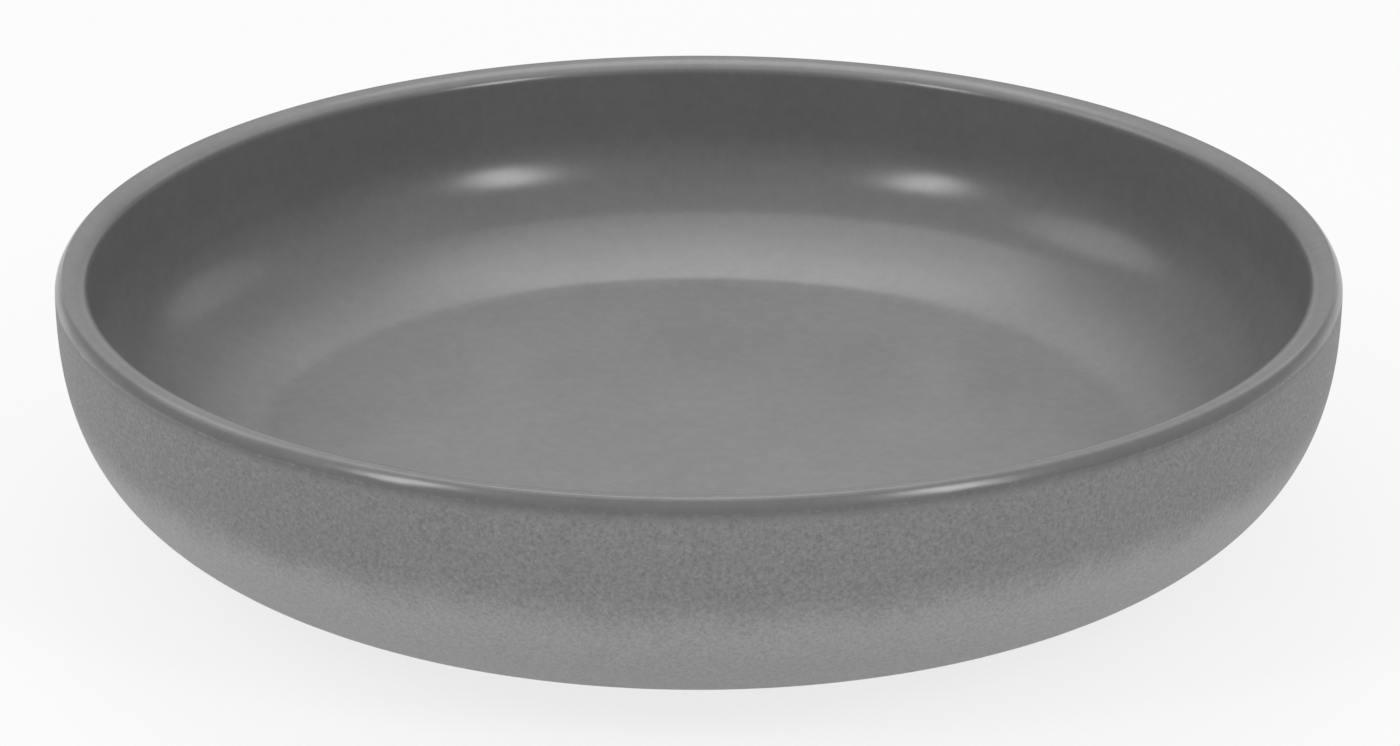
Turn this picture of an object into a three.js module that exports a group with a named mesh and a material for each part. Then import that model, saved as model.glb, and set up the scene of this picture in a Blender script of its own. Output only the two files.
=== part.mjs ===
// Soup plate in grey stoneware: a coupe-shaped clay body on a bare foot ring, a satin glaze inside
// and over the lip, a matte glaze down the outside, and the same matte glaze under the base.
// Millimetres, +Z up. The origin is on the table, under the middle of the plate.

import * as THREE from 'three';

// Overall size of the finished plate
const rimDiameter = 210;
const overallHeight = 45;

// Lip section, over the glaze: a leaning outer face, a narrow crest and an easy fall to the inside.
// Angles are in degrees above the level.
const lipThickness = 5.4;
const lipOuterRadius = 4;
const lipCrestRadius = 0.6;
const lipCrestAngle = 48;
const lipInnerDrop = 2.7;
const glazeLineAngle = 13.5;

// Outside wall: upright under the lip, then one sweep under the plate to the foot
const outsideUprightReach = 13.2;

// Inside wall: upright under the lip, then a cove, a shallow slope and the edge of the flat floor.
// The angle is the slope's, in degrees, where it leaves that edge.
const coveWidth = 27.2;
const coveRadius = 20;
const slopeRadius = 70;
const slopeAngle = 20;
const floorEdgeRadius = 12;

// Base and foot ring
const footRingDiameter = 118;
const footRingHeight = 1.8;
const footRingWidth = 5;
const footEdgeRadius = 0.6;
const footFilletRadius = 1;
const undersideRecess = 4.5;
const undersideFilletRadius = 2;
const baseThickness = 5.9;

// Glaze coats, and the height above the table up to which the foot is wiped bare
const insideGlazeThickness = 0.4;
const outsideGlazeThickness = 0.3;
const undersideGlazeThickness = 0.3;
const bareFootHeight = 1;

// Facets: sides round the axis, and steps along each kind of curve
const sidesAround = 56;
const wallSteps = 9;
const coveSteps = 5;
const lipSteps = 3;
const filletSteps = 3;

// Places that follow from the sizes, as radius from the axis and height above the table
const rimRadius = rimDiameter / 2;
const glazeLine = THREE.MathUtils.degToRad(glazeLineAngle);
const lipLean = THREE.MathUtils.degToRad(lipCrestAngle);
const underLipRadius = lipOuterRadius - insideGlazeThickness + outsideGlazeThickness;
const lipRadius = rimRadius - Math.max(underLipRadius, lipOuterRadius * Math.cos(glazeLine));
const lipHeight = overallHeight - lipCrestRadius - (lipOuterRadius - lipCrestRadius) * Math.sin(lipLean);
const crestRadius = lipRadius + (lipOuterRadius - lipCrestRadius) * Math.cos(lipLean);
const lipFootHeight = overallHeight - lipInnerDrop;
const outsideWallRadius = lipRadius + underLipRadius;
const insideWallRadius = rimRadius - lipThickness;
const floorHeight = undersideRecess + baseThickness;
const floorRadius = insideWallRadius - coveWidth;
const footOuterRadius = footRingDiameter / 2;
const clayFootOuterRadius = footOuterRadius - outsideGlazeThickness;
const clayFootInnerRadius = clayFootOuterRadius - footRingWidth;
const undersideRadius = clayFootInnerRadius - undersideGlazeThickness;

// Small rounds, kept within the walls that they join
const footEdge = Math.min(footEdgeRadius, bareFootHeight, footRingWidth / 2);
const footFillet = Math.min(footFilletRadius, footRingHeight - bareFootHeight);
const undersideFillet = Math.min(undersideFilletRadius, undersideRecess - bareFootHeight);

// The centres of the slope and the cove, and the angle at which the one turns into the other. The
// cove is kept between the floor's edge and the wall.
const slope = THREE.MathUtils.degToRad(slopeAngle);
const slopeFootRadius = floorRadius + floorEdgeRadius * Math.sin(slope);
const slopeFootHeight = floorHeight + floorEdgeRadius * (1 - Math.cos(slope));
const slopeCentreRadius = slopeFootRadius - slopeRadius * Math.sin(slope);
const slopeCentreHeight = slopeFootHeight + slopeRadius * Math.cos(slope);
const coveRound = Math.min(coveRadius, (insideWallRadius - slopeFootRadius) / (1 - Math.sin(slope)));
const coveCentreRadius = insideWallRadius - coveRound;
const coveTurn = Math.asin((coveCentreRadius - slopeCentreRadius) / (slopeRadius - coveRound));
const coveCentreHeight = slopeCentreHeight - (slopeRadius - coveRound) * Math.cos(coveTurn);
const coveTurnAngle = THREE.MathUtils.radToDeg(coveTurn);

const at = (radius, height) => new THREE.Vector2(radius, height);

function straight(from, to) {
  return { curve: new THREE.LineCurve(from, to), steps: 1 };
}

// An arc of a circle or ellipse, from its half widths across and up. Angles are in degrees.
function arc(centre, across, up, startAngle, endAngle, steps) {
  const start = THREE.MathUtils.degToRad(startAngle);
  const end = THREE.MathUtils.degToRad(endAngle);
  return { curve: new THREE.EllipseCurve(centre.x, centre.y, across, up, start, end, end < start), steps };
}

function round(centre, radius, startAngle, endAngle, steps) {
  return arc(centre, radius, radius, startAngle, endAngle, steps);
}

// A wall that leaves its upper end upright and its lower end level, with the level end
// pulled all the way out under the upright one.
function wallCurve(lower, upper, uprightReach) {
  const corner = at(upper.x, lower.y);
  const upright = at(upper.x, upper.y - uprightReach);
  return { curve: new THREE.CubicBezierCurve(lower, corner, upright, upper), steps: wallSteps };
}

// The outlines run from the axis under the base, out round the foot, up the outside, over the
// lip and down the inside to the axis again, so open air is always on their right-hand side.
const undersideOutline = [
  straight(at(0, undersideRecess), at(undersideRadius - undersideFillet, undersideRecess)),
  round(
    at(undersideRadius - undersideFillet, undersideRecess - undersideFillet),
    undersideFillet, 90, 0, filletSteps,
  ),
  straight(at(undersideRadius, undersideRecess - undersideFillet), at(undersideRadius, bareFootHeight)),
];

const bareFootOutline = [
  straight(at(clayFootInnerRadius, bareFootHeight), at(clayFootInnerRadius, footEdge)),
  round(at(clayFootInnerRadius + footEdge, footEdge), footEdge, 180, 270, filletSteps),
  straight(at(clayFootInnerRadius + footEdge, 0), at(clayFootOuterRadius - footEdge, 0)),
  round(at(clayFootOuterRadius - footEdge, footEdge), footEdge, 270, 360, filletSteps),
  straight(at(clayFootOuterRadius, footEdge), at(clayFootOuterRadius, bareFootHeight)),
];

const outsideOutline = [
  straight(at(footOuterRadius, bareFootHeight), at(footOuterRadius, footRingHeight - footFillet)),
  round(at(footOuterRadius + footFillet, footRingHeight - footFillet), footFillet, 180, 90, filletSteps),
  wallCurve(
    at(footOuterRadius + footFillet, footRingHeight),
    at(outsideWallRadius, lipHeight),
    outsideUprightReach,
  ),
  round(at(lipRadius, lipHeight), underLipRadius, 0, glazeLineAngle, 1),
];

const insideOutline = [
  round(at(lipRadius, lipHeight), lipOuterRadius, glazeLineAngle, lipCrestAngle, lipSteps),
  round(at(crestRadius, overallHeight - lipCrestRadius), lipCrestRadius, lipCrestAngle, 90, lipSteps),
  arc(at(crestRadius, lipFootHeight), crestRadius - insideWallRadius, lipInnerDrop, 90, 180, lipSteps),
  straight(at(insideWallRadius, lipFootHeight), at(insideWallRadius, coveCentreHeight)),
  round(at(coveCentreRadius, coveCentreHeight), coveRound, 0, coveTurnAngle - 90, coveSteps),
  round(
    at(slopeCentreRadius, slopeCentreHeight),
    slopeRadius, coveTurnAngle - 90, slopeAngle - 90, filletSteps,
  ),
  round(at(floorRadius, floorHeight + floorEdgeRadius), floorEdgeRadius, slopeAngle - 90, -90, filletSteps),
  straight(at(floorRadius, floorHeight), at(0, floorHeight)),
];

// Points along an outline, moved in from the open air by an even depth. Stretches with no length
// are passed over, and a point where two stretches meet is kept once.
function trace(outline, depth = 0) {
  const sameSpot = 1e-3;
  const points = [];
  const stretches = outline.filter(({ curve }) => curve.getLength() > sameSpot);
  for (const { curve, steps } of stretches) {
    for (let step = 0; step <= steps; step += 1) {
      const point = curve.getPoint(step / steps);
      const along = curve.getTangent(step / steps);
      point.x -= along.y * depth;
      point.y += along.x * depth;
      if (points.length === 0 || points.at(-1).distanceTo(point) > sameSpot) {
        points.push(point);
      }
    }
  }
  return points;
}

function turned(name, profile, finish) {
  const geometry = new THREE.LatheGeometry(profile, sidesAround);
  geometry.rotateX(Math.PI / 2);
  const mesh = new THREE.Mesh(geometry, new THREE.MeshStandardMaterial(finish));
  mesh.name = name;
  return mesh;
}

// The clay face under each coat
const clayUnderside = trace(undersideOutline, undersideGlazeThickness);
const clayFoot = trace(bareFootOutline);
const clayOutside = trace(outsideOutline, outsideGlazeThickness);
const clayInside = trace(insideOutline, insideGlazeThickness);

function stonewareBody() {
  const profile = [...clayUnderside, ...clayFoot.slice(1), ...clayOutside.slice(1), ...clayInside.slice(1)];
  return turned('stoneware_body', profile, { color: 0xb4b0a8, roughness: 0.9, metalness: 0 });
}

function insideGlaze() {
  const profile = [...clayInside.toReversed(), ...trace(insideOutline)];
  return turned('inside_glaze', profile, { color: 0x7a7a7a, roughness: 0.3, metalness: 0 });
}

function outsideGlaze() {
  const surface = trace(outsideOutline);
  const profile = [...surface, ...clayOutside.toReversed(), surface[0]];
  return turned('outside_glaze', profile, { color: 0x848484, roughness: 0.75, metalness: 0 });
}

function undersideGlaze() {
  const profile = [...trace(undersideOutline), ...clayUnderside.toReversed()];
  return turned('underside_glaze', profile, { color: 0x848484, roughness: 0.75, metalness: 0 });
}

const soupPlate = new THREE.Group();
soupPlate.add(stonewareBody(), insideGlaze(), outsideGlaze(), undersideGlaze());

export default soupPlate;
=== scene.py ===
"""Grey stoneware soup plate on a white studio table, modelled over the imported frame.

Metres, +Z up. The origin is on the table, under the middle of the plate.
"""

import math

import bmesh
import bpy
from bpy.props import FloatProperty, FloatVectorProperty, PointerProperty
from mathutils import Euler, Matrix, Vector
from mathutils.geometry import interpolate_bezier


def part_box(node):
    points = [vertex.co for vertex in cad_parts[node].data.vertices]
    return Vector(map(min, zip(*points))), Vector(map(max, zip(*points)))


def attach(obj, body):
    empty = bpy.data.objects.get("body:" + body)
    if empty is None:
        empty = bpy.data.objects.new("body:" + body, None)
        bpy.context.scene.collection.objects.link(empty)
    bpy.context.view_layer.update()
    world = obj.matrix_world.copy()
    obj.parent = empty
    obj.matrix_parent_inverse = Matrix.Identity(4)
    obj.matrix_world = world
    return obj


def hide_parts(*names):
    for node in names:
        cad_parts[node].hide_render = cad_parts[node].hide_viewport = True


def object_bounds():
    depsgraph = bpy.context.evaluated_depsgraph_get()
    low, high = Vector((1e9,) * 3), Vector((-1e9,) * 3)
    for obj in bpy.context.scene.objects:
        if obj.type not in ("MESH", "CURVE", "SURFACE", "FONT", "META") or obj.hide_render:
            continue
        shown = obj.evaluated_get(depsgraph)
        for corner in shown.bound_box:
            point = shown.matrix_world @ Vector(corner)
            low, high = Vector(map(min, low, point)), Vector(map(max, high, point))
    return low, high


bl_info = {
    "name": "Stoneware Soup Plate",
    "version": (1, 0, 0),
    "blender": (4, 5, 0),
    "location": "3D View > Sidebar > Soup Plate",
    "description": "Turns a glazed stoneware soup plate and sets it on a studio table",
    "category": "Add Mesh",
}

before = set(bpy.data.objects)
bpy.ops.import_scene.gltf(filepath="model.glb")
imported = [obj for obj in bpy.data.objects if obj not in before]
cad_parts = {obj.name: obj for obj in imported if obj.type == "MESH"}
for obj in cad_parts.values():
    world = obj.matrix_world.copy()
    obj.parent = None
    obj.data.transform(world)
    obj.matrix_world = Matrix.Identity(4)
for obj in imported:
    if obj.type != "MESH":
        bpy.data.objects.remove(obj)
CAD_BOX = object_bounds()
INSIDE_LOW, INSIDE_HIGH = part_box("inside_glaze")
OUTSIDE_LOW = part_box("outside_glaze")[0]
UNDERSIDE_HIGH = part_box("underside_glaze")[1]

MM = 0.001
BODY = "root"
INSIDE_COAT = 0.4 * MM

# The rim's rounding errors stay within the frame's box
BOX_SLACK = 0.02 * MM

# How finely the pieces are divided, and the distance under which two points are one
SIDES_AROUND = 256
WALL_STEPS = 44
LIP_STEPS = 12
EDGE_STEPS = 6
FLOOR_STEPS = 12
SAME_SPOT = 0.001 * MM

# Faces that meet at less than this angle are shaded as one
SMOOTH_ANGLE = math.radians(35)

# The sizes of the fired patterns: the satin glaze's slow clouds and its grain, the matte glaze's speckle, which
# is drawn a little coarse so that it shows, and the clay's sand and iron specks
SLOW_CLOUDS = 18 * MM
GRAIN = 2.5 * MM
SPECKLE = 0.65 * MM
SAND = 0.7 * MM
IRON_SPECKS = 2.2 * MM

# The part of a noise's span that the glazes' tones are stretched over
NOISE_LOW = 0.3
NOISE_HIGH = 0.7

# Under the wall the matte glaze is painted paler, as painted light bounced up from the white table, from the
# first height down to the second, along an edge that strays by this much in clouds of this size
PAINTED_BOUNCE_START = 34 * MM
PAINTED_BOUNCE_END = 24 * MM
PAINTED_BOUNCE_TONE = 1.5
PAINTED_BOUNCE_STRAY = 6 * MM
PAINTED_BOUNCE_CLOUDS = 9 * MM

# On the floor the satin glaze is painted paler, as painted light from overhead, from the first height down
# to the second
FLOOR_LIGHT_START = 18 * MM
FLOOR_LIGHT_END = 10 * MM
FLOOR_LIGHT_TONE = 1.59

# Along the crest, which lies this far in from the rim, the satin glaze is painted paler, as painted light on
# the top of the lip, from the first depth under the top up to the second. The paler band reaches further down
# inside the lip, by its lean for each step inwards, and the lean counts only across the lip's width.
CREST_INSET = 1.6 * MM
CREST_START = 0.7 * MM
CREST_END = 0.15 * MM
CREST_LIGHT_TONE = 1.5
INWARD_LEAN = 0.3
LEAN_WIDTH = 6 * MM

# At the glaze line the satin glaze runs out over the matte one: how large and how long the ragged fingers of
# its edge are, and over what depth it thins out. It covers fully inside the lip, from the second of two
# distances from the rim.
RAGGED_SIZE = 1.3 * MM
RAGGED_REACH = 3.2 * MM
THINNING = 2.3 * MM
COVER_START = 1 * MM
COVER_FULL = 1.4 * MM

# The photograph's width in pixels, the camera's sensor in millimetres, and the point at which it aims
FRAME_WIDTH = 1400
SENSOR_WIDTH = 36
AIM = Vector((0.19 * MM, 0, 22.5 * MM))

# The table's width in metres, and the share of its white that comes without any light on it
TABLE_WIDTH = 12
WHITE_SHARE = 0.8

# The backdrop's light fades between two heights, which are sines of the angle over the table, and grows at this
# rate from the sides to behind the plate
BACKDROP_LOW = 0.1
BACKDROP_HIGH = 0.3
BACKDROP_GROWTH = 2.0


def linear(hex_colour):
    """The linear RGB of an sRGB colour that is written as a hex number."""
    parts = [(hex_colour >> shift & 255) / 255 for shift in (16, 8, 0)]
    return [part / 12.92 if part <= 0.04045 else ((part + 0.055) / 1.055) ** 2.4 for part in parts]


def length(name, description, default):
    """A size in metres that a user may change."""
    return FloatProperty(
        name=name, description=description, default=default, min=0, unit="LENGTH", precision=5
    )


def angle(name, description, degrees):
    """An angle that a user may change."""
    return FloatProperty(name=name, description=description, default=math.radians(degrees), subtype="ANGLE")


def watts(name, description, default):
    """A lamp's power that a user may change."""
    return FloatProperty(name=name, description=description, default=default, min=0, unit="POWER")


def brightness(name, description, share):
    """A brightness that a user may change, where one is white."""
    return FloatProperty(
        name=name, description=description, default=share, min=0, soft_max=1, subtype="FACTOR"
    )


def colour(name, description, hex_colour):
    """A colour that a user may change."""
    return FloatVectorProperty(
        name=name, description=description, default=linear(hex_colour), min=0, max=1, subtype="COLOR", size=3
    )


class SoupPlateSizes(bpy.types.PropertyGroup):
    """The finished plate's section, over its glaze."""

    rim_diameter: length(
        "Rim diameter", "Across the plate at the lip", CAD_BOX[1].x - CAD_BOX[0].x - BOX_SLACK
    )
    height: length("Height", "From the table to the top of the lip", INSIDE_HIGH.z)
    lip_thickness: length("Lip thickness", "From the outside of the lip to the inside wall", 5.4 * MM)
    lip_outer_radius: length("Lip outer radius", "Round of the lip's leaning outer face", 4 * MM)
    lip_crest_radius: length("Lip crest radius", "Tight round along the top of the lip", 0.6 * MM)
    lip_crest_angle: angle("Lip crest angle", "How far the outer face leans before the crest", 48)
    glaze_line_angle: angle("Glaze line", "How far up the lip's outer face the satin glaze ends", 13.5)
    lip_inner_drop: length("Lip inner drop", "How far the lip falls away on the inside", 2.7 * MM)
    outside_reach: length("Outside reach", "How far the outside stays upright under the lip", 13.2 * MM)
    cove_width: length("Cove width", "From the inside wall to the edge of the flat floor", 27.2 * MM)
    cove_radius: length("Cove radius", "Round between the inside wall and the slope", 20 * MM)
    slope_radius: length("Slope radius", "Shallow round between the cove and the floor's edge", 70 * MM)
    slope_angle: angle("Slope angle", "How steeply the slope leaves the floor's edge", 20)
    floor_edge: length("Floor edge", "Round where the slope meets the floor", 12 * MM)
    floor_height: length(
        "Floor height", "From the table to the floor inside the plate", INSIDE_LOW.z + INSIDE_COAT
    )
    inside_coat: length("Inside glaze", "Thickness of the satin glaze", INSIDE_COAT)
    outside_coat: length("Outside glaze", "Thickness of the matte glaze", 0.3 * MM)
    foot_diameter: length("Foot diameter", "Across the foot ring", 118 * MM)
    foot_height: length("Foot height", "From the table to the wall over the foot ring", 1.8 * MM)
    foot_edge: length("Foot edge", "Round on the rubbed edges of the foot ring", 0.6 * MM)
    foot_fillet: length("Foot fillet", "Round where the wall meets the foot ring", 1 * MM)
    bare_height: length("Bare height", "Height to which the foot is wiped bare", OUTSIDE_LOW.z)
    recess_fillet: length("Recess fillet", "Round inside the foot ring", 2 * MM)
    glaze_edge: length("Glaze edge", "Round on the thick edge of the satin glaze", 0.1 * MM)
    glaze_wander: length("Glaze wander", "How far the glaze line strays up and down", 0.9 * MM)


class SoupPlateColours(bpy.types.PropertyGroup):
    """Fired colours of the glazes and the clay, and of the table."""

    satin_glaze: colour("Satin glaze", "Inside of the plate and lip", 0x767676)
    matte_glaze: colour("Matte glaze", "Outside of the plate", 0x8B8B8B)
    bare_clay: colour("Bare clay", "Foot ring", 0xB4B0A8)
    iron_speck: colour("Iron speck", "Specks in the bare clay", 0x5E5850)
    table: colour("Table", "White table top", 0xFBFBFB)


class SoupPlateStudio(bpy.types.PropertyGroup):
    """Camera and lamps."""

    camera_distance: length("Camera distance", "From the camera to the middle of the plate", 700 * MM)
    camera_tilt: angle("Camera tilt", "How far the camera looks down", 21.87)
    camera_roll: angle("Camera roll", "Turn about the line of sight", -0.06)
    focal_pixels: FloatProperty(
        name="Focal length", description="In pixels of the photograph's width", default=4206.7, min=1
    )
    overhead_power: watts("Overhead lamp", "Softbox over the plate", 1.0)
    left_power: watts("Left lamp", "Softbox on the left of the camera", 1.68)
    right_power: watts("Right lamp", "Softbox on the right of the camera", 1.95)
    left_card_power: watts("Left card", "White card on the left of the plate", 0.9)
    right_card_power: watts("Right card", "White card behind the plate on the right", 0.34)
    wall_light: brightness("Room walls", "Light from the room at table height", 0.05)
    backdrop_light: brightness("Backdrop", "Light from low behind the plate", 0.5)
    ceiling_light: brightness("Room ceiling", "Light from the room overhead", 0.77)


def spot(radius, height):
    """A point of the section: its distance from the axis and its height above the table."""
    return Vector((radius, height))


def straight(start, end, steps=1):
    """Points on a straight stretch of the section."""
    return [start.lerp(end, step / steps) for step in range(steps + 1)]


def arc(centre, across, up, start, end, steps):
    """Points on an arc of a circle or ellipse, from its half widths across and up. Angles are in degrees."""
    turns = [math.radians(start + (end - start) * step / steps) for step in range(steps + 1)]
    return [centre + spot(across * math.cos(turn), up * math.sin(turn)) for turn in turns]


def wall_curve(lower, upper, upright_reach):
    """Points on a wall that is level at its lower end and upright at its upper end."""
    corner = spot(upper.x, lower.y)
    upright = spot(upper.x, upper.y - upright_reach)
    return interpolate_bezier(lower, corner, upright, upper, WALL_STEPS + 1)


def joined(*stretches):
    """One line through several stretches, with each meeting point kept once."""
    line = []
    for point in (point for stretch in stretches for point in stretch):
        if not line or (line[-1] - point).length > SAME_SPOT:
            line.append(point)
    return line


def sunk(line, depth):
    """The same line moved by an even depth to its left, which is into the clay."""
    before = [line[0], *line[:-1]]
    after = [*line[1:], line[-1]]
    runs = [(there - here).normalized() for here, there in zip(before, after)]
    return [point + depth * spot(-run.y, run.x) for point, run in zip(line, runs)]


def under_lip_radius(sizes):
    """The matte glaze's round under the lip's outer face, which the thicker satin glaze overhangs."""
    return sizes.lip_outer_radius - sizes.inside_coat + sizes.outside_coat


def lip_centres(sizes):
    """The centres of the lip's outer round and of its crest, which touch where the outer face ends."""
    lean = sizes.lip_crest_angle
    apart = (sizes.lip_outer_radius - sizes.lip_crest_radius) * spot(math.cos(lean), math.sin(lean))
    widest = max(under_lip_radius(sizes), sizes.lip_outer_radius * math.cos(sizes.glaze_line_angle))
    outer = spot(sizes.rim_diameter / 2 - widest, sizes.height - sizes.lip_crest_radius - apart.y)
    return outer, outer + apart


def glaze_line_height(sizes):
    """Where the satin glaze ends, a little over the widest part of the lip."""
    return lip_centres(sizes)[0].y + sizes.lip_outer_radius * math.sin(sizes.glaze_line_angle)


def underside_line(sizes):
    """From the axis, out under the base and down the inside of the foot ring."""
    reach = UNDERSIDE_HIGH.x - sizes.outside_coat
    roof = UNDERSIDE_HIGH.z - sizes.outside_coat
    fillet = sizes.recess_fillet
    return joined(
        straight(spot(0, roof), spot(reach - fillet, roof), FLOOR_STEPS),
        arc(spot(reach - fillet, roof - fillet), fillet, fillet, 90, 0, EDGE_STEPS),
        straight(spot(reach, roof - fillet), spot(reach, sizes.bare_height)),
    )


def foot_line(sizes):
    """Round the bare clay of the foot ring, from its inside to its outside."""
    inner = UNDERSIDE_HIGH.x
    outer = sizes.foot_diameter / 2 - sizes.outside_coat
    edge = sizes.foot_edge
    return joined(
        straight(spot(inner, sizes.bare_height), spot(inner, edge)),
        arc(spot(inner + edge, edge), edge, edge, 180, 270, EDGE_STEPS),
        arc(spot(outer - edge, edge), edge, edge, 270, 360, EDGE_STEPS),
        straight(spot(outer, edge), spot(outer, sizes.bare_height)),
    )


def outside_line(sizes):
    """Up the outside of the foot ring and the wall to the glaze line."""
    foot = sizes.foot_diameter / 2
    fillet = min(sizes.foot_fillet, sizes.foot_height - sizes.bare_height)
    lip = lip_centres(sizes)[0]
    under_lip = under_lip_radius(sizes)
    wall_top = lip + spot(under_lip, 0)
    return joined(
        straight(spot(foot, sizes.bare_height), spot(foot, sizes.foot_height - fillet)),
        arc(spot(foot + fillet, sizes.foot_height - fillet), fillet, fillet, 180, 90, EDGE_STEPS),
        wall_curve(spot(foot + fillet, sizes.foot_height), wall_top, sizes.outside_reach),
        arc(lip, under_lip, under_lip, 0, math.degrees(sizes.glaze_line_angle), EDGE_STEPS),
    )


def inside_line(sizes):
    """From the glaze line over the lip, and down the inside wall and the cove to the middle of the floor."""
    outer, crest = lip_centres(sizes)
    lean = math.degrees(sizes.lip_crest_angle)
    wall = sizes.rim_diameter / 2 - sizes.lip_thickness
    lip_foot = sizes.height - sizes.lip_inner_drop
    rise = math.degrees(sizes.slope_angle)
    floor = spot(wall - sizes.cove_width, sizes.floor_height)
    floor_edge = arc(
        floor + spot(0, sizes.floor_edge), sizes.floor_edge, sizes.floor_edge, -90 + rise, -90, EDGE_STEPS
    )
    inwards = spot(-math.sin(sizes.slope_angle), math.cos(sizes.slope_angle))
    slope = floor_edge[0] + sizes.slope_radius * inwards
    apart = sizes.slope_radius - sizes.cove_radius
    lean_in = math.asin((wall - sizes.cove_radius - slope.x) / apart)
    cove = spot(wall - sizes.cove_radius, slope.y - apart * math.cos(lean_in))
    turn = math.degrees(lean_in)
    glaze_line = math.degrees(sizes.glaze_line_angle)
    return joined(
        arc(outer, sizes.lip_outer_radius, sizes.lip_outer_radius, glaze_line, lean, LIP_STEPS),
        arc(crest, sizes.lip_crest_radius, sizes.lip_crest_radius, lean, 90, EDGE_STEPS),
        arc(spot(crest.x, lip_foot), crest.x - wall, sizes.lip_inner_drop, 90, 180, LIP_STEPS),
        arc(cove, sizes.cove_radius, sizes.cove_radius, 0, -90 + turn, WALL_STEPS),
        arc(slope, sizes.slope_radius, sizes.slope_radius, -90 + turn, -90 + rise, LIP_STEPS),
        floor_edge,
        straight(floor, spot(0, floor.y), FLOOR_STEPS),
    )


def draw_section(name, section):
    """Starts a piece as one point of its section, extruded along the rest of it."""
    bpy.ops.object.select_all(action="DESELECT")
    bpy.ops.mesh.primitive_plane_add(size=1 * MM)
    piece = bpy.context.object
    piece.name = name
    piece.data.name = name
    bpy.ops.object.mode_set(mode="EDIT")
    bpy.ops.mesh.select_mode(type="VERT")
    bpy.ops.mesh.merge(type="CENTER")
    here = Vector((0, 0, 0))
    for step, point in enumerate(section):
        there = Vector((point.x, 0, point.y))
        if step == 0:
            bpy.ops.transform.translate(value=there - here)
        else:
            bpy.ops.mesh.extrude_vertices_move(TRANSFORM_OT_translate={"value": there - here})
        here = there
    return piece


def turn_piece(name, section):
    """Draws a closed section and spins it once round the plate's axis, as on a potter's wheel."""
    piece = draw_section(name, section)
    bpy.ops.mesh.select_all(action="SELECT")
    bpy.ops.mesh.spin(steps=SIDES_AROUND, angle=math.tau, center=(0, 0, 0), axis=(0, 0, 1))
    bpy.ops.mesh.select_all(action="SELECT")
    bpy.ops.mesh.remove_doubles(threshold=SAME_SPOT)
    bpy.ops.mesh.normals_make_consistent(inside=False)
    bpy.ops.object.mode_set(mode="OBJECT")
    if len(piece.data.polygons) < SIDES_AROUND * (len(section) - 1):
        raise RuntimeError(f"{name} was not turned whole")
    return piece


def round_ring(piece, point, size):
    """Bevels the ring of edges that passes through a point of the section."""
    bpy.ops.object.mode_set(mode="EDIT")
    bpy.ops.mesh.select_mode(type="EDGE")
    bpy.ops.mesh.select_all(action="DESELECT")
    mesh = bmesh.from_edit_mesh(piece.data)
    near = 0.02 * MM
    for edge in mesh.edges:
        places = [spot(vertex.co.xy.length, vertex.co.z) for vertex in edge.verts]
        edge.select_set(all((place - point).length < near for place in places))
    bmesh.update_edit_mesh(piece.data)
    bpy.ops.mesh.bevel(offset=size, offset_type="OFFSET", segments=EDGE_STEPS, affect="EDGES")
    bpy.ops.object.mode_set(mode="OBJECT")


def stray_glaze_line(piece, sizes):
    """Lets the edge of a coat stray up and down along the glaze line, by the same clouds on both coats."""
    line = glaze_line_height(sizes)
    reach = (sizes.height - line) / 2
    group = piece.vertex_groups.new(name="glaze line")
    for vertex in piece.data.vertices:
        on_outside = vertex.co.xy.length > (sizes.rim_diameter - sizes.lip_thickness) / 2
        weight = 1 - abs(vertex.co.z - line) / reach
        if on_outside and weight > 0:
            group.add([vertex.index], weight, "REPLACE")
    clouds = bpy.data.textures.get("glaze clouds") or bpy.data.textures.new("glaze clouds", "CLOUDS")
    clouds.noise_scale = 7 * MM
    clouds.noise_depth = 2
    stray = piece.modifiers.new("stray", "DISPLACE")
    stray.texture = clouds
    stray.vertex_group = group.name
    stray.direction = "Z"
    stray.strength = sizes.glaze_wander
    stray.mid_level = 0.5
    bpy.ops.object.modifier_apply(modifier=stray.name)


def finish_piece(piece, node, material):
    """Smooths a piece, gives it its material and sets it in the frame in place of its node."""
    bpy.ops.object.shade_smooth_by_angle(angle=SMOOTH_ANGLE)
    piece.data.materials.clear()
    piece.data.materials.append(material)
    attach(piece, BODY)
    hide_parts(node)


def add_node(tree, kind, fields=None, inputs=None):
    """Adds a node, sets its fields, and sets or links its inputs."""
    node = tree.nodes.new(kind)
    for name, value in (fields or {}).items():
        setattr(node, name, value)
    for name, value in (inputs or {}).items():
        if isinstance(value, bpy.types.NodeSocket):
            tree.links.new(value, node.inputs[name])
        else:
            node.inputs[name].default_value = value
    return node


def new_material(name):
    """An empty material, its node tree and its output's surface socket."""
    material = bpy.data.materials.new(name)
    material.use_nodes = True
    tree = material.node_tree
    tree.nodes.clear()
    output = add_node(tree, "ShaderNodeOutputMaterial")
    return material, tree, output.inputs["Surface"]


def speckled(tree, place):
    """The matte glaze's fine speckle, as a noise."""
    return add_node(
        tree, "ShaderNodeTexNoise",
        inputs={"Vector": place, "Scale": 1 / SPECKLE, "Detail": 5.0, "Roughness": 0.9},
    )


def paler_towards(tree, height, start, end, tone):
    """A tone that is one as far as a start height, and reaches its full value at an end height."""
    return add_node(
        tree, "ShaderNodeMapRange", {"interpolation_type": "SMOOTHSTEP"},
        {"Value": height, "From Min": start, "From Max": end, "To Min": 1.0, "To Max": tone},
    ).outputs["Result"]


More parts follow.
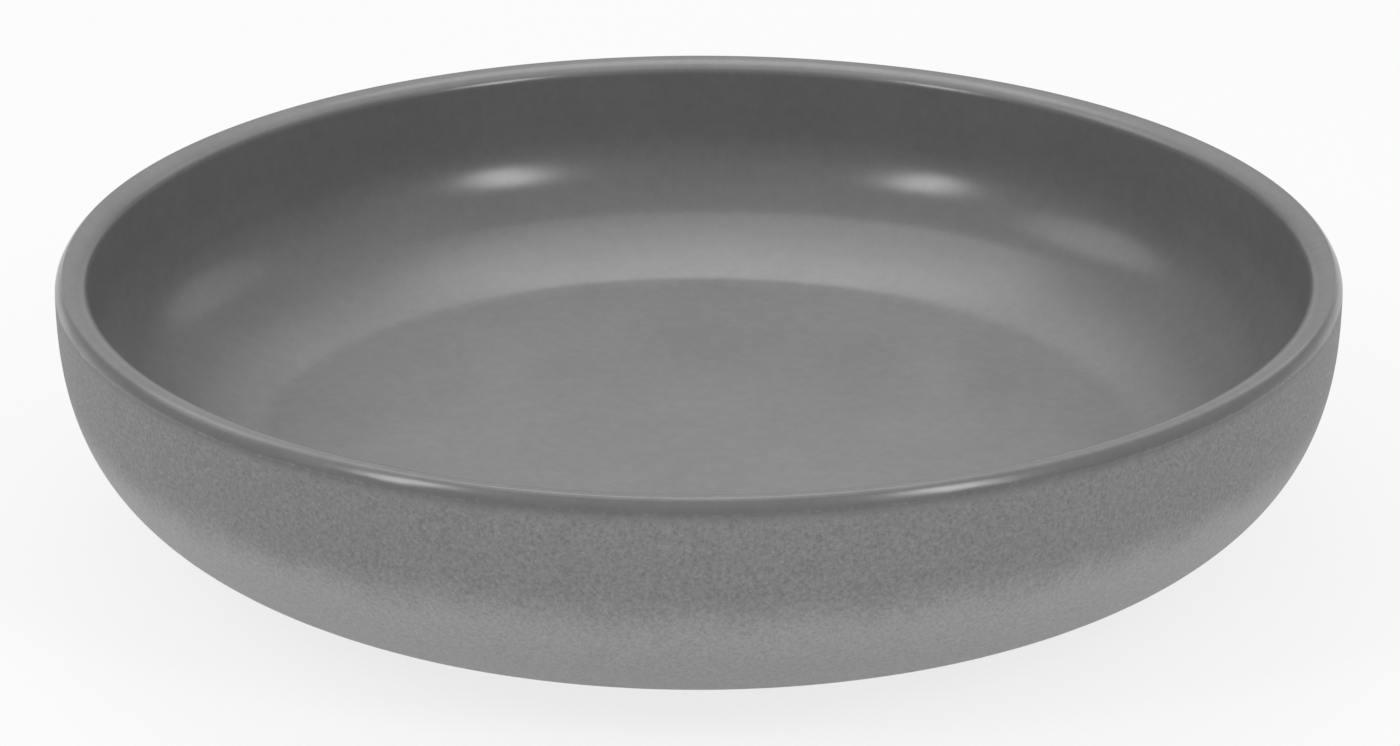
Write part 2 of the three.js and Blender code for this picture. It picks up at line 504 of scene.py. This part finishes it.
def matte_tint(tree, place, fired):
    """The matte glaze's colour, finely speckled, and unevenly painted paler under the wall, as painted light
    bounced up from the white table.
    """
    height = add_node(tree, "ShaderNodeSeparateXYZ", inputs={"Vector": place})
    clouds = add_node(
        tree, "ShaderNodeTexNoise",
        inputs={"Vector": place, "Scale": 1 / PAINTED_BOUNCE_CLOUDS, "Detail": 3.0, "Roughness": 0.55},
    )
    uneven = add_node(
        tree, "ShaderNodeMath", {"operation": "MULTIPLY_ADD"},
        {0: clouds.outputs["Fac"], 1: PAINTED_BOUNCE_STRAY, 2: height.outputs["Z"]},
    )
    speckle = add_node(
        tree, "ShaderNodeMapRange",
        inputs={
            "Value": speckled(tree, place).outputs["Fac"],
            "From Min": NOISE_LOW, "From Max": NOISE_HIGH, "To Min": -0.42, "To Max": 0.42,
        },
    )
    # Painted light: the lower wall is painted paler, where the white table's bounce falls on it
    tone = add_node(
        tree, "ShaderNodeMath", {"operation": "ADD"},
        {
            0: speckle.outputs["Result"],
            1: paler_towards(tree, uneven.outputs["Value"], PAINTED_BOUNCE_START, PAINTED_BOUNCE_END, PAINTED_BOUNCE_TONE),
        },
    )
    tinted = add_node(
        tree, "ShaderNodeVectorMath", {"operation": "SCALE"},
        {"Vector": fired[:], "Scale": tone.outputs["Value"]},
    )
    return tinted.outputs["Vector"]


def satin_cover(tree, place, glaze_line):
    """How far the satin glaze covers the matte one on the outside: fully above the glaze line, and less and
    less below it, along a ragged edge."""
    height = add_node(tree, "ShaderNodeSeparateXYZ", inputs={"Vector": place})
    ragged = add_node(
        tree, "ShaderNodeTexNoise",
        inputs={"Vector": place, "Scale": 1 / RAGGED_SIZE, "Detail": 4.0, "Roughness": 0.75},
    )
    strayed = add_node(
        tree, "ShaderNodeMath", {"operation": "MULTIPLY_ADD"},
        {0: ragged.outputs["Fac"], 1: RAGGED_REACH, 2: height.outputs["Z"]},
    )
    return add_node(
        tree, "ShaderNodeMapRange", {"interpolation_type": "SMOOTHSTEP"},
        {"Value": strayed.outputs["Value"], "From Min": glaze_line, "From Max": glaze_line + THINNING},
    ).outputs["Result"]


def satin_glaze(colours, glaze_line, lip_radius, crest):
    """Satin glaze, poured and fired: smooth and softly shiny, with slow clouds, and painted paler on the floor,
    as painted light from overhead, and along the crest of the lip, as painted light on its top. On the outside
    of the lip it runs out over the matte glaze, whose speckle shows through."""
    material, tree, surface = new_material("Satin poured glaze")
    place = add_node(tree, "ShaderNodeTexCoord").outputs["Object"]
    height = add_node(tree, "ShaderNodeSeparateXYZ", inputs={"Vector": place}).outputs["Z"]
    clouds = add_node(
        tree, "ShaderNodeTexNoise",
        inputs={"Vector": place, "Scale": 1 / SLOW_CLOUDS, "Detail": 3.0, "Roughness": 0.5},
    )
    grain = add_node(
        tree, "ShaderNodeTexNoise",
        inputs={"Vector": place, "Scale": 1 / GRAIN, "Detail": 4.0, "Roughness": 0.8},
    )
    cloud_tone = add_node(
        tree, "ShaderNodeMapRange",
        inputs={
            "Value": clouds.outputs["Fac"],
            "From Min": NOISE_LOW, "From Max": NOISE_HIGH, "To Min": 0.965, "To Max": 1.035,
        },
    )
    grain_tone = add_node(
        tree, "ShaderNodeMapRange",
        inputs={
            "Value": grain.outputs["Fac"],
            "From Min": NOISE_LOW, "From Max": NOISE_HIGH, "To Min": 0.94, "To Max": 1.06,
        },
    )
    mottled = add_node(
        tree, "ShaderNodeMath", {"operation": "MULTIPLY"},
        {0: cloud_tone.outputs["Result"], 1: grain_tone.outputs["Result"]},
    )
    # Painted light: the floor is painted paler, where the overhead light falls on it
    mottle_and_floor_light = add_node(
        tree, "ShaderNodeMath", {"operation": "MULTIPLY"},
        {0: mottled.outputs["Value"], 1: paler_towards(tree, height, FLOOR_LIGHT_START, FLOOR_LIGHT_END, FLOOR_LIGHT_TONE)},
    )
    level = add_node(tree, "ShaderNodeVectorMath", {"operation": "MULTIPLY"}, {0: place, 1: (1, 1, 0)})
    radius = add_node(tree, "ShaderNodeVectorMath", {"operation": "LENGTH"}, {0: level.outputs["Vector"]})
    at_lip = add_node(
        tree, "ShaderNodeMath", {"operation": "MAXIMUM"},
        {0: radius.outputs["Value"], 1: lip_radius - LEAN_WIDTH},
    )
    from_crest = add_node(
        tree, "ShaderNodeMath", {"operation": "MULTIPLY_ADD"},
        {0: at_lip.outputs["Value"], 1: -INWARD_LEAN, 2: height},
    )
    crest_place = crest - INWARD_LEAN * (lip_radius - CREST_INSET)
    # Painted light: the crest of the lip is painted paler, where light falls on its top
    mottle_and_painted_light = add_node(
        tree, "ShaderNodeMath", {"operation": "MULTIPLY"},
        {
            0: mottle_and_floor_light.outputs["Value"],
            1: paler_towards(
                tree, from_crest.outputs["Value"],
                crest_place - CREST_START, crest_place - CREST_END, CREST_LIGHT_TONE,
            ),
        },
    )
    tinted = add_node(
        tree, "ShaderNodeVectorMath", {"operation": "SCALE"},
        {"Vector": colours.satin_glaze[:], "Scale": mottle_and_painted_light.outputs["Value"]},
    )
    inside = add_node(
        tree, "ShaderNodeMapRange",
        inputs={
            "Value": radius.outputs["Value"],
            "From Min": lip_radius - COVER_FULL, "From Max": lip_radius - COVER_START,
            "To Min": 1.0, "To Max": 0.0,
        },
    )
    cover = add_node(
        tree, "ShaderNodeMath", {"operation": "MAXIMUM"},
        {0: inside.outputs["Result"], 1: satin_cover(tree, place, glaze_line)},
    )
    shown_through = add_node(
        tree, "ShaderNodeMix", {"data_type": "RGBA"},
        {
            0: cover.outputs["Value"],
            6: matte_tint(tree, place, colours.matte_glaze),
            7: tinted.outputs["Vector"],
        },
    )
    gloss = add_node(
        tree, "ShaderNodeMapRange", inputs={"Value": cover.outputs["Value"], "To Min": 0.4, "To Max": 0.23}
    )
    ripple = add_node(
        tree, "ShaderNodeBump",
        inputs={"Strength": 0.15, "Distance": 0.05 * MM, "Height": grain.outputs["Fac"]},
    )
    shader = add_node(
        tree, "ShaderNodeBsdfPrincipled",
        inputs={
            "Base Color": shown_through.outputs[2], "Roughness": gloss.outputs["Result"], "IOR": 1.6,
            "Normal": ripple.outputs["Normal"],
        },
    )
    tree.links.new(shader.outputs["BSDF"], surface)
    return material


def matte_glaze(colours, glaze_line):
    """Matte glaze, dipped and fired: a dry, finely speckled skin, darker and smoother just under the lip,
    where the satin glaze runs out over it."""
    material, tree, surface = new_material("Matte speckled glaze")
    place = add_node(tree, "ShaderNodeTexCoord").outputs["Object"]
    cover = satin_cover(tree, place, glaze_line)
    toned = add_node(
        tree, "ShaderNodeMix", {"data_type": "RGBA"},
        {0: cover, 6: matte_tint(tree, place, colours.matte_glaze), 7: (*colours.satin_glaze, 1)},
    )
    gloss = add_node(tree, "ShaderNodeMapRange", inputs={"Value": cover, "To Min": 0.58, "To Max": 0.4})
    pitting = add_node(
        tree, "ShaderNodeBump",
        inputs={"Strength": 0.3, "Distance": 0.06 * MM, "Height": speckled(tree, place).outputs["Fac"]},
    )
    shader = add_node(
        tree, "ShaderNodeBsdfPrincipled",
        inputs={
            "Base Color": toned.outputs[2], "Roughness": gloss.outputs["Result"], "IOR": 1.42,
            "Normal": pitting.outputs["Normal"],
        },
    )
    tree.links.new(shader.outputs["BSDF"], surface)
    return material


def bare_stoneware(colours):
    """Stoneware clay, fired bare and rubbed smooth on the foot: pale, dry and sandy, with iron specks."""
    material, tree, surface = new_material("Bare fired stoneware")
    place = add_node(tree, "ShaderNodeTexCoord").outputs["Object"]
    sand = add_node(
        tree, "ShaderNodeTexNoise",
        inputs={"Vector": place, "Scale": 1 / SAND, "Detail": 4.0, "Roughness": 0.7},
    )
    iron = add_node(tree, "ShaderNodeTexVoronoi", inputs={"Vector": place, "Scale": 1 / IRON_SPECKS})
    speck = add_node(
        tree, "ShaderNodeMapRange",
        inputs={
            "Value": iron.outputs["Distance"],
            "From Min": 0.1, "From Max": 0.16, "To Min": 1.0, "To Max": 0.0,
        },
    )
    toned = add_node(
        tree, "ShaderNodeMix", {"data_type": "RGBA"},
        {0: speck.outputs["Result"], 6: (*colours.bare_clay, 1), 7: (*colours.iron_speck, 1)},
    )
    tone = add_node(
        tree, "ShaderNodeMapRange",
        inputs={
            "Value": sand.outputs["Fac"], "From Min": 0.25, "From Max": 0.75, "To Min": 0.88, "To Max": 1.1,
        },
    )
    tinted = add_node(
        tree, "ShaderNodeVectorMath", {"operation": "SCALE"},
        {"Vector": toned.outputs[2], "Scale": tone.outputs["Result"]},
    )
    grit = add_node(
        tree, "ShaderNodeBump", inputs={"Strength": 0.5, "Distance": 0.1 * MM, "Height": sand.outputs["Fac"]}
    )
    shader = add_node(
        tree, "ShaderNodeBsdfPrincipled",
        inputs={
            "Base Color": tinted.outputs["Vector"], "Roughness": 0.9, "IOR": 1.5,
            "Normal": grit.outputs["Normal"],
        },
    )
    tree.links.new(shader.outputs["BSDF"], surface)
    return material


def white_table(colours):
    """White painted table: seen nearly white by the camera and in reflections, with the plate's shadow on it.
    From below it is clear, so that the foot can be looked at."""
    material, tree, surface = new_material("White painted table")
    paint = add_node(tree, "ShaderNodeBsdfDiffuse", inputs={"Color": (*colours.table, 1)})
    white = add_node(tree, "ShaderNodeEmission", inputs={"Color": (1, 1, 1, 1), "Strength": 1.0})
    path = add_node(tree, "ShaderNodeLightPath")
    seen = add_node(
        tree, "ShaderNodeMath", {"operation": "MAXIMUM"},
        {0: path.outputs["Is Camera Ray"], 1: path.outputs["Is Glossy Ray"]},
    )
    seen_through = add_node(
        tree, "ShaderNodeMath", {"operation": "MAXIMUM"},
        {0: seen.outputs["Value"], 1: path.outputs["Is Transmission Ray"]},
    )
    share = add_node(
        tree, "ShaderNodeMath", {"operation": "MULTIPLY"}, {0: seen_through.outputs["Value"], 1: WHITE_SHARE}
    )
    top = add_node(
        tree, "ShaderNodeMixShader",
        inputs={0: share.outputs["Value"], 1: paint.outputs["BSDF"], 2: white.outputs["Emission"]},
    )
    below = add_node(tree, "ShaderNodeNewGeometry")
    clear = add_node(tree, "ShaderNodeBsdfTransparent")
    either = add_node(
        tree, "ShaderNodeMixShader",
        inputs={0: below.outputs["Backfacing"], 1: top.outputs["Shader"], 2: clear.outputs["BSDF"]},
    )
    tree.links.new(either.outputs["Shader"], surface)
    return material


class SOUPPLATE_OT_turn_body(bpy.types.Operator):
    """Turns the stoneware body, with its bare foot ring"""

    bl_idname = "soup_plate.turn_body"
    bl_label = "Turn Stoneware Body"

    def execute(self, context):
        sizes = context.scene.soup_plate_sizes
        section = joined(
            sunk(underside_line(sizes), sizes.outside_coat),
            foot_line(sizes),
            sunk(outside_line(sizes), sizes.outside_coat),
            sunk(inside_line(sizes), sizes.inside_coat),
        )
        body = turn_piece("stoneware_plate", section)
        finish_piece(body, "stoneware_body", bare_stoneware(context.scene.soup_plate_colours))
        return {"FINISHED"}


class SOUPPLATE_OT_glaze_inside(bpy.types.Operator):
    """Coats the inside and the lip with satin glaze"""

    bl_idname = "soup_plate.glaze_inside"
    bl_label = "Glaze Inside"

    def execute(self, context):
        sizes = context.scene.soup_plate_sizes
        face = inside_line(sizes)
        coat = turn_piece("satin_inside_glaze", joined(reversed(sunk(face, sizes.inside_coat)), face))
        round_ring(coat, face[0], sizes.glaze_edge)
        stray_glaze_line(coat, sizes)
        glaze = satin_glaze(
            context.scene.soup_plate_colours, glaze_line_height(sizes), sizes.rim_diameter / 2, sizes.height
        )
        finish_piece(coat, "inside_glaze", glaze)
        return {"FINISHED"}


class SOUPPLATE_OT_glaze_outside(bpy.types.Operator):
    """Coats the outside, and the base inside the foot ring, with matte glaze"""

    bl_idname = "soup_plate.glaze_outside"
    bl_label = "Glaze Outside And Base"

    def execute(self, context):
        sizes = context.scene.soup_plate_sizes
        glaze = matte_glaze(context.scene.soup_plate_colours, glaze_line_height(sizes))
        face = outside_line(sizes)
        clay = sunk(face, sizes.outside_coat)
        coat = turn_piece("matte_outside_glaze", joined(face, reversed(clay), face[:1]))
        round_ring(coat, face[0], sizes.outside_coat / 2)
        stray_glaze_line(coat, sizes)
        finish_piece(coat, "outside_glaze", glaze)
        face = underside_line(sizes)
        clay = sunk(face, sizes.outside_coat)
        base = turn_piece("matte_base_glaze", joined(face, reversed(clay)))
        round_ring(base, face[-1], sizes.outside_coat / 2)
        finish_piece(base, "underside_glaze", glaze)
        return {"FINISHED"}


class SOUPPLATE_OT_set_stage(bpy.types.Operator):
    """Sets the plate on a white table with softboxes, white cards and a camera"""

    bl_idname = "soup_plate.set_stage"
    bl_label = "Set Table, Lamps And Camera"

    def execute(self, context):
        self.lay_table(context)
        self.hang_lamps(context)
        self.light_room(context)
        self.stand_camera(context)
        context.scene.view_settings.view_transform = "Standard"
        return {"FINISHED"}

    def lay_table(self, context):
        """A wide table top under the foot."""
        bpy.ops.object.select_all(action="DESELECT")
        bpy.ops.mesh.primitive_plane_add(size=TABLE_WIDTH)
        table = context.object
        table.name = "table"
        table.data.materials.append(white_table(context.scene.soup_plate_colours))

    def hang_lamps(self, context):
        """A large softbox over the plate, a little behind it, a small one on each side of the camera, and a
        dim white card to the left and one behind to the right."""
        studio = context.scene.soup_plate_studio
        self.hang_lamp(
            "overhead_softbox", studio.overhead_power, azimuth=8, elevation=114, distance=0.85, size=(0.6, 0.48)
        )
        self.hang_lamp(
            "left_softbox", studio.left_power, azimuth=-54.5, elevation=37.5, distance=1.1, size=(0.18, 0.41)
        )
        self.hang_lamp(
            "right_softbox", studio.right_power, azimuth=45.5, elevation=37.5, distance=1.1, size=(0.22, 0.4)
        )
        self.hang_lamp(
            "left_card", studio.left_card_power, azimuth=-105, elevation=38, distance=1.1, size=(0.55, 0.5)
        )
        self.hang_lamp(
            "right_card", studio.right_card_power, azimuth=130, elevation=28, distance=1.1, size=(0.5, 0.45)
        )

    def hang_lamp(self, name, power, azimuth, elevation, distance, size):
        """A softbox or card that faces the plate. Azimuth, from the camera's side, and elevation are in
        degrees, and the distance and size in metres."""
        turn = Euler((math.radians(90 - elevation), 0, math.radians(azimuth)))
        place = turn.to_matrix() @ Vector((0, 0, distance))
        bpy.ops.object.light_add(type="AREA", location=place, rotation=turn)
        lamp = bpy.context.object
        lamp.name = name
        lamp.data.shape = "ELLIPSE"
        lamp.data.size, lamp.data.size_y = size
        lamp.data.energy = power

    def light_room(self, context):
        """Grey light from the walls and the ceiling, and from a pale backdrop low behind the plate."""
        world = bpy.data.worlds.new("studio room")
        world.use_nodes = True
        context.scene.world = world
        tree = world.node_tree
        tree.nodes.clear()
        studio = context.scene.soup_plate_studio
        way = add_node(tree, "ShaderNodeTexCoord").outputs["Generated"]
        rise = add_node(tree, "ShaderNodeSeparateXYZ", inputs={"Vector": way})
        grey = add_node(
            tree, "ShaderNodeMapRange",
            inputs={"Value": rise.outputs["Z"], "To Min": studio.wall_light, "To Max": studio.ceiling_light},
        )
        low = add_node(
            tree, "ShaderNodeMapRange",
            inputs={
                "Value": rise.outputs["Z"],
                "From Min": BACKDROP_LOW, "From Max": BACKDROP_HIGH,
                "To Min": studio.backdrop_light, "To Max": 0.0,
            },
        )
        behind = add_node(
            tree, "ShaderNodeMath", {"operation": "MULTIPLY", "use_clamp": True},
            {0: rise.outputs["Y"], 1: BACKDROP_GROWTH},
        )
        backdrop = add_node(
            tree, "ShaderNodeMath", {"operation": "MULTIPLY"},
            {0: low.outputs["Result"], 1: behind.outputs["Value"]},
        )
        strength = add_node(
            tree, "ShaderNodeMath", {"operation": "MAXIMUM"},
            {0: grey.outputs["Result"], 1: backdrop.outputs["Value"]},
        )
        light = add_node(
            tree, "ShaderNodeBackground",
            inputs={"Color": (1, 1, 1, 1), "Strength": strength.outputs["Value"]},
        )
        add_node(tree, "ShaderNodeOutputWorld", inputs={"Surface": light.outputs["Background"]})

    def stand_camera(self, context):
        """The camera, where the photograph was taken from."""
        studio = context.scene.soup_plate_studio
        tilt = studio.camera_tilt
        back = Vector((0, -math.cos(tilt), math.sin(tilt)))
        bpy.ops.object.camera_add(location=AIM + studio.camera_distance * back)
        camera = context.object
        camera.rotation_mode = "ZYX"
        camera.rotation_euler = (math.pi / 2 - tilt, 0, studio.camera_roll)
        camera.data.sensor_fit = "HORIZONTAL"
        camera.data.sensor_width = SENSOR_WIDTH
        camera.data.lens = SENSOR_WIDTH * studio.focal_pixels / FRAME_WIDTH
        camera.data.clip_start = 10 * MM
        context.scene.camera = camera


class SOUPPLATE_PT_sidebar(bpy.types.Panel):
    """Lists the plate's steps, sizes and colours"""

    bl_idname = "SOUPPLATE_PT_sidebar"
    bl_label = "Soup Plate"
    bl_space_type = "VIEW_3D"
    bl_region_type = "UI"
    bl_category = "Soup Plate"

    def draw(self, context):
        layout = self.layout
        for operator in OPERATORS:
            layout.operator(operator.bl_idname)
        scene = context.scene
        for group in (scene.soup_plate_sizes, scene.soup_plate_colours, scene.soup_plate_studio):
            box = layout.box()
            for name in group.__annotations__:
                box.prop(group, name)


GROUPS = (SoupPlateSizes, SoupPlateColours, SoupPlateStudio)
OPERATORS = (
    SOUPPLATE_OT_turn_body, SOUPPLATE_OT_glaze_inside, SOUPPLATE_OT_glaze_outside, SOUPPLATE_OT_set_stage,
)


def register():
    for item in (*GROUPS, *OPERATORS, SOUPPLATE_PT_sidebar):
        bpy.utils.register_class(item)
    bpy.types.Scene.soup_plate_sizes = PointerProperty(type=SoupPlateSizes)
    bpy.types.Scene.soup_plate_colours = PointerProperty(type=SoupPlateColours)
    bpy.types.Scene.soup_plate_studio = PointerProperty(type=SoupPlateStudio)


def unregister():
    del bpy.types.Scene.soup_plate_studio
    del bpy.types.Scene.soup_plate_colours
    del bpy.types.Scene.soup_plate_sizes
    for item in (SOUPPLATE_PT_sidebar, *reversed(OPERATORS), *reversed(GROUPS)):
        bpy.utils.unregister_class(item)


def main():
    """Builds the plate and its stage."""
    register()
    bpy.ops.soup_plate.turn_body()
    bpy.ops.soup_plate.glaze_inside()
    bpy.ops.soup_plate.glaze_outside()
    bpy.ops.soup_plate.set_stage()


if __name__ == "__main__":
    main()
